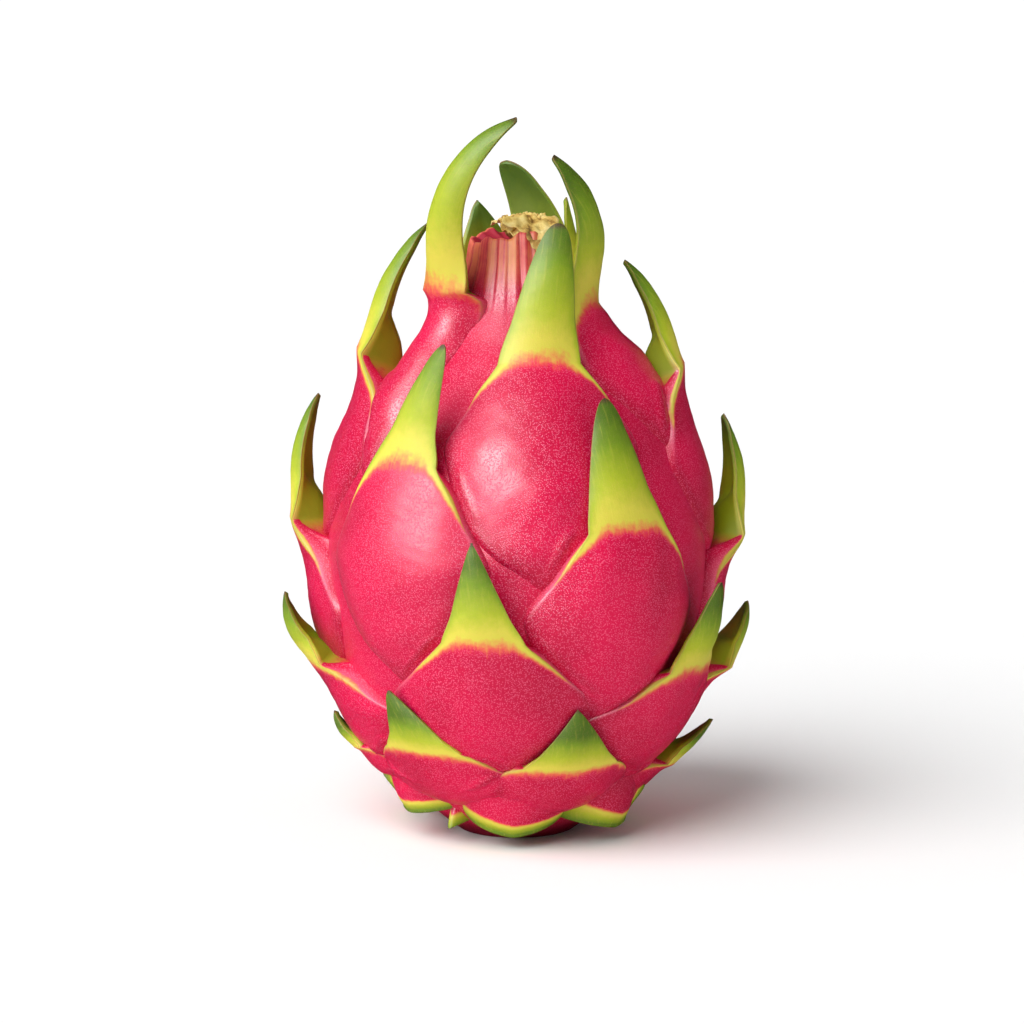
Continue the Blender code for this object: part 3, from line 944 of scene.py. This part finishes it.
@dataclass
class ScaleShape:
    """The fine surface of one scale, in mm.

    The surface is a closed loft along q, the distance in mm above the shoulder,
    where the blade leaves the rind. Below the shoulder it follows the rind: the
    middle stands up like a pillow and the margins are thin proud ridges. Above
    it, the section is a shallow channel that narrows, leans out and curls in.
    Edge is how thick the margin is, buried how deep the hidden side lies, change
    the stretch where the one shape turns into the other, and fade the stretch
    over which the stored growth falls by one.
    """

    skin: Skin
    scale: Scale
    seed: int
    rows_below: int = 70
    rows_above: int = 64
    columns_out: int = 49
    columns_in: int = 21
    edge: float = 0.55
    tip_half: float = 0.25
    ripple: float = 0.2
    buried: float = 5.5
    change: float = 6.0
    fade: float = 20.0

    def half_width(self, q: np.ndarray) -> np.ndarray:
        """Half the width, where the blade narrows as a power of what is left of it.

        Args:
            q: Distance above the shoulder.

        Returns:
            Half the width of the facet or the blade there.
        """
        s = self.scale
        t = np.clip(q / s.blade, 0.0, 1.0)
        blade = s.blade_half * (1 - t) ** s.point * (1 - s.flare * smoothstep(t, 0.0, 0.3))
        return np.where(q > 0, np.maximum(blade, self.tip_half), facet_half_width(s, q))

    def path(self, q: np.ndarray) -> Tuple[np.ndarray, np.ndarray, np.ndarray]:
        """The middle line: it follows the rind, then leans out and curls in by its own angles.

        Args:
            q: Distance above the shoulder.

        Returns:
            Radius, height and lean of the middle line, the lean in radians.
        """
        s = self.scale
        rind = self.skin.rind
        start = rind.length_to(s.height)
        r, z, lean = rind.at(start + np.minimum(q, 0.0))
        lift = facet_middle(s, np.minimum(q, 0.0))
        r = r + lift * np.cos(lean)
        z = z - lift * np.sin(lean)
        turned = smoothstep(q, -0.25 * s.facet, 0.0)
        lean_low = lean + 0.5 * math.radians(s.lean) * turned

        r0, z0, lean0 = (float(v) for v in rind.at(start))
        r0 += s.lift * math.cos(lean0)
        z0 -= s.lift * math.sin(lean0)
        steps = 240
        t = np.linspace(0.0, 1.0, steps + 1)
        bowed = lean0 + math.radians(s.lean) * smoothstep(t, -0.25, 0.25)
        bowed = bowed + math.radians(s.curl) * t**1.4
        middle = (bowed[1:] + bowed[:-1]) / 2
        step = s.blade / steps
        rr = r0 + np.concatenate([[0.0], np.cumsum(np.sin(middle) * step)])
        zz = z0 + np.concatenate([[0.0], np.cumsum(np.cos(middle) * step)])
        share = np.clip(q / s.blade, 0.0, 1.0)
        free = q > 0
        return (
            np.where(free, np.interp(share, t, rr), r),
            np.where(free, np.interp(share, t, zz), z),
            np.where(free, np.interp(share, t, bowed), lean_low),
        )

    def loft(self) -> Loft:
        """The grid of the surface, closer towards the tip and the margins.

        Returns:
            Its rows and columns.
        """
        s = self.scale
        below = -s.facet * (1 - np.linspace(0.0, 1.0, self.rows_below, endpoint=False))
        above = s.blade * (1 - (1 - np.linspace(0.0, 1.0, self.rows_above)) ** 1.5)
        outer = np.linspace(-1.0, 1.0, self.columns_out)
        outer = np.sin(outer * math.pi / 2) * 0.4 + outer * 0.6
        flank = np.array([0.18, 0.5, 1.0, 2.0, 3.2])
        inner = np.linspace(0.94, -0.94, self.columns_in)
        many = len(flank)
        steps = np.linspace(0.2, 1, many)
        return Loft(
            q=np.concatenate([below, above])[:, None],
            v=np.concatenate([outer, np.full(many, 0.985), inner, np.full(many, -0.985)])[None, :],
            past=np.concatenate([0 * outer, flank, 0 * inner, -flank[::-1]])[None, :],
            under=np.concatenate([0 * outer, steps, 1 + 0 * inner, steps[::-1]])[None, :],
            buried=np.concatenate([0 * outer, 0 * flank, 1 + 0 * inner, 0 * flank])[None, :],
        )

    def rippled(self, loft: Loft) -> np.ndarray:
        """Low waves over the outer face that die out at its margins.

        Args:
            loft: The grid.

        Returns:
            Their height.
        """
        q, v = loft.q, loft.v
        wide = self.half_width(q)
        waves = wave(self.seed, wide * v, q + 0 * v, 11.0) * self.ripple
        waves = waves + wave(self.seed + 50, wide * v, q + 0 * v, 3.4) * 0.05
        return waves * (1 - np.abs(v) ** 6) * (loft.under == 0)

    def laid(self, loft: Loft, ripple: np.ndarray) -> Tuple[np.ndarray, np.ndarray]:
        """The surface laid on the rind, by arc length across and height above the nominal rind.

        Args:
            loft: The grid.
            ripple: Its low waves.

        Returns:
            The points, and how deep in a valley each of them lies, from 0 to 1.
        """
        s = self.scale
        q, v, past = loft.q, loft.v, loft.past
        start = self.skin.rind.length_to(s.height)
        rind_r, rind_z, rind_lean = self.skin.rind.at(start + q)
        on_facet = np.minimum(q, 0.0)
        wide = self.half_width(q)
        middle = facet_middle(s, on_facet)
        margin = facet_margin(s, on_facet)
        slope = facet_flank(s, on_facet)
        outside = np.sign(past) * (wide + np.abs(past)) * (past != 0)
        across = np.clip(v, -1, 1) * wide * (past == 0) + outside
        height = middle + (margin - middle) * np.abs(v) ** PILLOW - slope * np.abs(past)
        height = np.where(past != 0, margin - slope * np.abs(past), height) + ripple
        turn = math.radians(s.azimuth) + across / np.maximum(rind_r, 3.0)
        lifted = self.skin.fillet(s, height, turn, start + q + 0 * turn)
        # How deep in a valley a point lies; the skin paints shade there as deep crimson.
        valley = smoothstep(lifted, 0.05, 0.8) * (1 - smoothstep(q, -self.change, -1.0))
        height = height + lifted * (loft.buried == 0)
        height = np.where(loft.buried == 1, -self.buried, np.maximum(height, -self.buried))
        r = rind_r + height * np.cos(rind_lean)
        z = rind_z - height * np.sin(rind_lean)
        return np.stack([r * np.sin(turn), -r * np.cos(turn), z + 0 * turn], axis=-1), valley

    def standing(self, loft: Loft, ripple: np.ndarray) -> np.ndarray:
        """The surface as a channel round the middle line: an arc whose angle is the fold.

        Args:
            loft: The grid.
            ripple: Its low waves.

        Returns:
            The points.
        """
        s = self.scale
        q, v, under = loft.q, loft.v, loft.under
        start = self.skin.rind.length_to(s.height)
        rind_r, _, rind_lean = self.skin.rind.at(start + q)
        mid_r, mid_z, mid_lean = self.path(q)
        on_facet = np.minimum(q, 0.0)
        wide = self.half_width(q)
        middle = facet_middle(s, on_facet)
        margin = facet_margin(s, on_facet)
        share = np.clip(q / s.blade, 0.0, 1.0)
        free = smoothstep(q, -0.5 * s.corner, 0.0)
        flat = np.minimum(wide / np.maximum(rind_r / np.maximum(np.cos(rind_lean), 0.3), 1.0), 1.2)
        fold = smoothstep(q / s.blade, -0.05, 0.35)
        tip = 1.0 - 0.5 * smoothstep(share, 0.75, 1.0)
        angle = np.maximum(flat * (1 - fold) + s.fold * fold * tip, 0.001)
        rho = wide / angle
        root = max(3.4, s.lift + 1.0)
        thick = monotone(share, [0, 0.16, 0.34, 0.6, 1.0], [root, 0.62 * root + 0.8, 2.8, 2.1, 0.9])
        leaf = self.edge + (thick - self.edge) * (1 - np.abs(v) ** 2.5)
        leaf = np.minimum(leaf, 0.6 * rho) * under
        depth = (middle + self.buried) * under * (1 - free) + leaf * free
        edge_drop = (margin - middle) * (1 - smoothstep(q, 0.0, 0.25 * s.blade))
        out = edge_drop * np.abs(v) ** PILLOW - depth + ripple * 0.6 - rho * (1 - np.cos(v * angle))
        sideways = math.tan(math.radians(s.side)) * np.maximum(q, 0.0) + s.bend * share**2
        side = sideways + (rho - depth) * np.sin(v * angle)
        azimuth = math.radians(s.azimuth)
        r = mid_r + out * np.cos(mid_lean)
        z = mid_z - out * np.sin(mid_lean)
        x = r * math.sin(azimuth) + side * math.cos(azimuth)
        y = -r * math.cos(azimuth) + side * math.sin(azimuth)
        return np.stack([x, y, z + 0 * side], axis=-1)

    def stored(self, loft: Loft, valley: np.ndarray) -> Dict[str, np.ndarray]:
        """What the mesh stores for its colours.

        Args:
            loft: The grid.
            valley: How deep in a valley each point lies, where the skin gets painted shade.

        Returns:
            Each value by name, one to a point.
        """
        s = self.scale
        q, v, under = loft.q, loft.v, loft.under
        past = np.abs(loft.past)
        share = np.clip(q / s.blade, 0.0, 1.0)
        run = 0.50 * s.rimmed * s.corner * np.abs(v) ** 6 * (1 - share) / self.fade
        run = run * (1 - smoothstep(under, 0.15, 0.5))
        grown = np.where(q > 0, share * s.pace, q / self.fade) + 0.04 + run - 0.4 * past * (q < 0)
        rim = smoothstep(np.abs(v), 0.955, 0.995) * smoothstep(q, -s.corner, -0.5 * s.corner)
        inside = (under > 0.5) * smoothstep(q, -3.0, 0.5) * (1 - smoothstep(np.abs(v), 0.975, 1.0))
        return {
            "grown": grown,
            "rim": rim * (1 - smoothstep(past, 0.2, 0.8)),
            "inside": inside,
            "across": self.half_width(q) * v,
            "valley": valley,
            "withered": 0.85 * smoothstep(share, 0.94, 0.99) + 0 * v,
            "bloom": s.bloom + 0 * grown,
        }

    def build(self, material: bpy.types.Material) -> bpy.types.Object:
        """Makes the scale, on the rind at first and then standing free.

        Args:
            material: Its material.

        Returns:
            The scale's object.
        """
        loft = self.loft()
        ripple = self.rippled(loft)
        laid, valley = self.laid(loft, ripple)
        on_rind = 1.0 - smoothstep(loft.q, -self.change, 0.0)[..., None]
        points = laid * on_rind + self.standing(loft, ripple) * (1 - on_rind)
        return grid_piece(self.scale.name, points, self.stored(loft, valley), material)


@dataclass
class PadShape:
    """The fine surface of one basal pad: a lip of rind that hangs down to a green rim.

    The pad is a fan of profiles. Each runs down the outer side, over a bulge, to
    the rim and back under it to the rind, and it shrinks towards the pad's ends.
    """

    rind: Rind
    pad: Pad
    rows: int = 60
    columns_out: int = 26
    columns_in: int = 12
    full_span: float = 27.0

    def build(self, material: bpy.types.Material) -> bpy.types.Object:
        """Makes the pad.

        Args:
            material: Its material.

        Returns:
            The pad's object.
        """
        p = self.pad
        f = np.linspace(-1.0, 1.0, self.rows)[:, None]
        size = math.sin(math.radians(min(p.span, self.full_span))) / math.sin(math.radians(self.full_span))
        away = np.abs(f)
        rim_z = p.rim_height + (p.end_height - p.rim_height) * away**1.2
        body_r = np.interp(rim_z, self.rind.z, self.rind.r)
        rim_r = p.rim_radius + (body_r - 0.6 - p.rim_radius) * away**2.6
        horn = np.exp(-(((f - 0.74 * np.sign(p.horn)) / 0.15) ** 2)) * abs(p.horn)
        rim_r = rim_r + 2.6 * horn
        rim_z = rim_z + 2.4 * horn
        top_z = p.top - (p.top - p.end_height - 0.5) * away**3
        top_r = np.interp(top_z, self.rind.z, self.rind.r) - 0.5

        t = np.linspace(0.0, 1.0, self.columns_out)[None, :]
        u = np.linspace(0.0, 1.0, self.columns_in)[None, :]
        bulge = 1.4 * size * (1 - away**2) * np.sin(math.pi * t**0.9)
        curl = 1.2 * size * (1 - away**2) * smoothstep(t, 0.8, 1.0)
        r_out = top_r + (rim_r - top_r) * t + bulge * 0.75
        z_out = top_z + (rim_z - top_z) * t - bulge * 0.15 + 0.35 * curl
        lip = 0.9 * size
        r_in = rim_r - (5.0 * size + 1.0) * u
        z_in = rim_z - lip * np.sin(math.pi * np.minimum(u * 3, 1.0)) * 0.5 + (rim_z * 0.2 + 2.5) * u**2
        r = np.concatenate([r_out, r_in], axis=1)
        z = np.maximum(np.concatenate([z_out, z_in], axis=1), 0.3)
        turn = math.radians(p.azimuth) + math.radians(p.span) * f
        points = np.stack([r * np.sin(turn), -r * np.cos(turn), z], axis=-1)
        down = np.concatenate([t + 0 * f, 1 + 0 * u + 0 * f], axis=1)
        drop = np.concatenate([(1 - t) * np.hypot(top_r - rim_r, top_z - rim_z), 0 * u + 0 * f], axis=1)
        grown = 0.86 - drop * (0.24 + 0.10 * f) - 0.10 * (1 - away) * (down < 1)
        inside = np.concatenate([0 * t + 0 * f, smoothstep(u, 0.3, 0.9) + 0 * f], axis=1)
        layers = {
            "grown": grown,
            "inside": inside * 0.6,
            "across": p.rim_radius * turn + 0 * grown,
        }
        return grid_piece(p.name, points, layers, material)


@dataclass
class Fruit:
    """The fruit that grew as one piece: its rind, its neck, its scales and its pads."""

    finish: bpy.types.Material
    rind: Rind = field(default_factory=Rind)
    pieces: List[bpy.types.Object] = field(default_factory=list)
    first_seed: int = 11
    rows: int = 240
    columns: int = 288
    neck_radius: float = 10.0

    def build(self) -> None:
        """Makes every piece of the fruit."""
        skin = Skin(self.rind)
        self.pieces.append(self.build_rind())
        for number, scale in enumerate(SCALES):
            self.pieces.append(ScaleShape(skin, scale, self.first_seed + number).build(self.finish))
        for pad in PADS:
            self.pieces.append(PadShape(self.rind, pad).build(self.finish))
        for piece in self.pieces:
            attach(piece, BODY)
            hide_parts("fruit")

    def build_rind(self) -> bpy.types.Object:
        """The turned body under the scales, with the neck's upright wrinkles and its sunken top.

        Returns:
            The body's object.
        """
        s = np.linspace(0.0, self.rind.s[-1], self.rows)[:, None]
        r, z, _ = self.rind.at(s)
        turn = np.linspace(0.0, 2 * math.pi, self.columns, endpoint=False)[None, :]
        neck = smoothstep(z, 106.0, 118.0)
        coral = smoothstep(z, 113.0, 121.0)
        r = r - 1.8 * smoothstep(z, 8.0, 20.0) * (1 - smoothstep(z, 98.0, 110.0))
        fold = np.sin(11 * turn + 1.2 * np.sin(2 * turn + 0.6) + 0.04 * z)
        fine = np.sin(31 * turn + 2.0 + 0.05 * z + np.sin(5 * turn))
        r = r + neck * (0.5 * np.abs(fold) ** 0.7 - 0.3 + 0.12 * fine)
        ragged = 0.9 * np.sin(2 * turn + 0.8) + 0.5 * np.sin(7 * turn) + 0.25 * np.sin(17 * turn + 1.0)
        top = RIND_PROFILE[-1][0]
        z = z + ragged * smoothstep(z, 118.0, top)
        inward = np.array([0.93, 0.8, 0.55, 0.3, 0.05])[:, None]
        sunk = np.array([-0.1, -0.9, -1.4, -1.5, -1.5])[:, None]
        r_top = r[-1:] * inward
        z_top = z[-1:] * inward + (1 - inward) * top + sunk
        # Painted shade in the bottoms of the neck's folds; the sunken top under the petals is painted this
        # dark all over.
        groove_shade = 0.5 * neck * (1 - smoothstep(np.abs(fold), 0.05, 0.35))
        # Painted contact shade round the resting spot, over the stem base's own dark red.
        foot = 1 - smoothstep(z, 1.5, 7.0)
        side = np.ones((self.rows, self.columns))
        lid = np.ones((len(inward), self.columns))
        layers = {
            name: np.concatenate([on_side * side, on_lid * lid])
            for name, on_side, on_lid in (
                ("grown", -0.3, -0.3),
                ("groove_shade", groove_shade, 1.0),
                ("neck", coral, 1.0),
                ("foot", foot, 0.0),
                ("bloom", 0.2 * coral, 0.3),
                ("across", self.neck_radius * turn, self.neck_radius * turn),
                ("bare", coral, 1.0),
            )
        }
        r = np.concatenate([r * side, r_top])
        z = np.concatenate([z * side, z_top])
        points = np.stack([r * np.sin(turn), -r * np.cos(turn), z], axis=-1)
        return grid_piece("rind_body", points, layers, self.finish)


@dataclass(frozen=True)
class Petal:
    """One dry petal, in mm: how far it reaches out, stands up and droops, and half its width.

    The drape is 0 if its end stands up and 1 if it lies back down on the neck.
    """

    azimuth: float
    reach: float
    stand: float
    droop: float
    half: float
    drape: float = 0.0


PETALS: Tuple[Petal, ...] = (
    Petal(16, 10.3, 4.9, 1.6, 5.2, 1.0),
    Petal(-30, 7.2, 3.9, 0.0, 3.4, 0.45),
    Petal(62, 4.8, 4.2, 0.0, 3.0, 0.35),
    Petal(112, 4.2, 4.6, 0.0, 2.8),
    Petal(165, 4.8, 4.6, 0.0, 3.0),
    Petal(-152, 5.2, 4.4, 0.0, 3.0),
    Petal(-98, 6.2, 4.0, 0.0, 3.2, 0.2),
    Petal(38, 6.4, 4.6, 0.0, 3.0, 0.7),
    Petal(-6, 8.6, 4.2, 0.0, 3.4, 0.8),
)


@dataclass
class FlowerRemnant:
    """The dry crumpled petals on top of the neck."""

    dried: bpy.types.Material
    base: float = RIND_PROFILE[-1][0] - 0.4
    radius: float = 3.4
    middle: float = 1.4
    thickness: float = 0.3
    overhang: float = 5.0
    first_seed: int = 300

    def build(self) -> None:
        """Makes the core and every petal."""
        pieces = [self.core()] + [self.petal(number, petal) for number, petal in enumerate(PETALS)]
        for piece in pieces:
            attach(piece, BODY)
            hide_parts("flower_remnant")

    def core(self) -> bpy.types.Object:
        """The knot of dry tissue that the petals grow from, turned and then made lumpy.

        Returns:
            The core's object.
        """
        t = np.linspace(0.0, 1.0, 30)[:, None]
        turn = np.linspace(0.0, 2 * math.pi, 72, endpoint=False)[None, :]
        r = self.radius * monotone(t, [0, 0.3, 0.7, 1.0], [0.8, 1.0, 0.7, 0.03])
        r = r * (1 + 0.12 * np.sin(5 * turn + 6 * t) + 0.08 * np.sin(9 * turn))
        z = self.base + 3.6 * t + 0.3 * np.sin(4 * turn) * t + 0 * turn
        points = np.stack([r * np.sin(turn) + self.middle, -r * np.cos(turn), z], axis=-1)
        return grid_piece("flower_remnant_core", points, {}, self.dried)

    def petal(self, number: int, petal: Petal) -> bpy.types.Object:
        """One thin crumpled petal, as a closed sheet.

        Args:
            number: Its place in the ring, which also picks its crumples.
            petal: Its sizes.

        Returns:
            The petal's object.
        """
        t = np.linspace(0.0, 1.0, 48)[:, None]
        v = np.linspace(-1.0, 1.0, 25)[None, :]
        wide = petal.half * np.sin(math.pi * (0.16 + 0.8 * t)) ** 0.7 * (1 - 0.2 * np.sin(9 * t + number))
        out = 0.6 + petal.reach * t**1.2
        level = monotone(t, [0.0, 0.3, 0.6, 1.0], [0.7, 1.0, 1.0 - 0.3 * petal.drape, 1.0 - petal.drape])
        rise = petal.stand * level - petal.droop * smoothstep(t, 0.8, 1.0)
        side = wide * v
        crumple = wave(self.first_seed + number, side, 8.0 * t + 0 * v, 2.0) * 0.55
        crumple = crumple + 0.3 * np.cos(4.0 * v + 4 * t + number)
        rise = rise + crumple * smoothstep(t, 0.05, 0.3) - 0.5 * v**2 * (1 - t)
        turn = math.radians(petal.azimuth)
        x = out * math.sin(turn) + side * math.cos(turn) + self.middle
        y = -out * math.cos(turn) + side * math.sin(turn)
        # The neck holds a petal up as far as its edge, and past it the petal can hang.
        lowest = self.base - self.overhang * smoothstep(out, 10.0, 11.8) + 0 * v
        sheets = [
            np.stack([x, y, np.maximum(lowest, self.base + rise - drop)], axis=-1)
            for drop in (0.0, self.thickness)
        ]
        points = np.concatenate([sheets[0], sheets[1][:, ::-1]], axis=1)
        return grid_piece(f"flower_remnant_petal_{number + 1}", points, {}, self.dried)


@dataclass(frozen=True)
class Sun:
    """A broad even light from far away.

    It stands at an azimuth in degrees from the front towards +X, at a height in
    degrees above the floor. The spread is the angle that it fills, in degrees,
    and the strength its irradiance in W/m2. It can leave out matt surfaces, or
    make no highlights.
    """

    name: str
    azimuth: float
    height: float
    spread: float
    strength: float
    matt: bool = True
    shiny: bool = True


SUNS: Tuple[Sun, ...] = (
    Sun("key_light", -44, 45, 54, 3.2, shiny=False),
    Sun("side_light", -95, 24, 40, 0.35, shiny=False),
    Sun("soft_box", -39, 27, 34, 9.5, matt=False),
)


@dataclass
class Studio:
    """The white floor, the lights and the camera. Lengths are in metres, and angles in degrees."""

    distance: float = 0.600
    elevation: float = 8.0
    lens: float = 100.0
    target: Tuple[float, float, float] = (-0.001, 0.0, 0.0673)
    ambient: float = 0.28
    backdrop: float = 1.05
    floor_half: float = 2.0
    floor_drop: float = 0.00002

    def build(self) -> None:
        """Sets the whole stage."""
        self.floor()
        self.world()
        for sun in SUNS:
            self.shine(sun)
        self.camera()
        scene = bpy.context.scene
        scene.view_settings.view_transform = "Standard"
        scene.view_settings.look = "None"
        scene.view_settings.exposure = 0.0
        scene.view_settings.gamma = 1.0

    def floor(self) -> None:
        """A large sheet of white paper under the fruit."""
        line = np.linspace(-self.floor_half, self.floor_half, 9) / MM
        x, y = np.meshgrid(line, line)
        points = np.stack([x, y, 0 * x - self.floor_drop / MM], axis=-1)
        paper = paper_material(PaperFinish())
        floor = grid_piece("floor", points, {}, paper, closed=False, capped=False)
        floor.visible_glossy = False

    def world(self) -> None:
        """Soft white light from all round, and pure white behind the fruit."""
        world = bpy.data.worlds.new("studio")
        bpy.context.scene.world = world
        world.use_nodes = True
        g = NodeGraph(world.node_tree)
        seen = g.add("LightPath", out="Is Camera Ray")
        added = self.backdrop - self.ambient
        strength = g.add("Math", {0: seen, 1: added, 2: self.ambient}, operation="MULTIPLY_ADD")
        background = g.add("Background", {"Color": linear(Hue.WHITE), "Strength": strength})
        g.add("OutputWorld", {"Surface": background})
        world.cycles_visibility.glossy = False

    def shine(self, sun: Sun) -> None:
        """Sets up one light.

        Args:
            sun: The light.
        """
        light = bpy.data.lights.new(sun.name, "SUN")
        light.angle = math.radians(sun.spread)
        light.energy = sun.strength
        obj = bpy.data.objects.new(sun.name, light)
        bpy.context.scene.collection.objects.link(obj)
        turn = math.radians(sun.azimuth)
        lift = math.radians(sun.height)
        flat = math.cos(lift)
        towards = Vector((math.sin(turn) * flat, -math.cos(turn) * flat, math.sin(lift)))
        obj.visible_diffuse = sun.matt
        obj.visible_glossy = sun.shiny
        obj.location = towards
        obj.rotation_euler = towards.to_track_quat("Z", "Y").to_euler()

    def camera(self) -> None:
        """A long lens, a little above the fruit's middle."""
        lift = math.radians(self.elevation)
        data = bpy.data.cameras.new("camera")
        data.lens = self.lens
        data.sensor_width = 36.0
        data.clip_start = 0.01
        data.clip_end = 20.0
        data.dof.use_dof = False
        obj = bpy.data.objects.new("camera", data)
        bpy.context.scene.collection.objects.link(obj)
        back = Vector((0.0, -math.cos(lift), math.sin(lift)))
        obj.location = Vector(self.target) + back * self.distance
        obj.rotation_euler = (-back).to_track_quat("-Z", "Y").to_euler()
        bpy.context.scene.camera = obj


def main() -> None:
    """Loads the frame, builds the fruit and its setting."""
    logging.basicConfig(level=logging.INFO)
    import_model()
    Fruit(SkinPainter(SkinFinish()).build()).build()
    FlowerRemnant(dried_material(DriedFinish())).build()
    Studio().build()


if __name__ == "__main__":
    main()
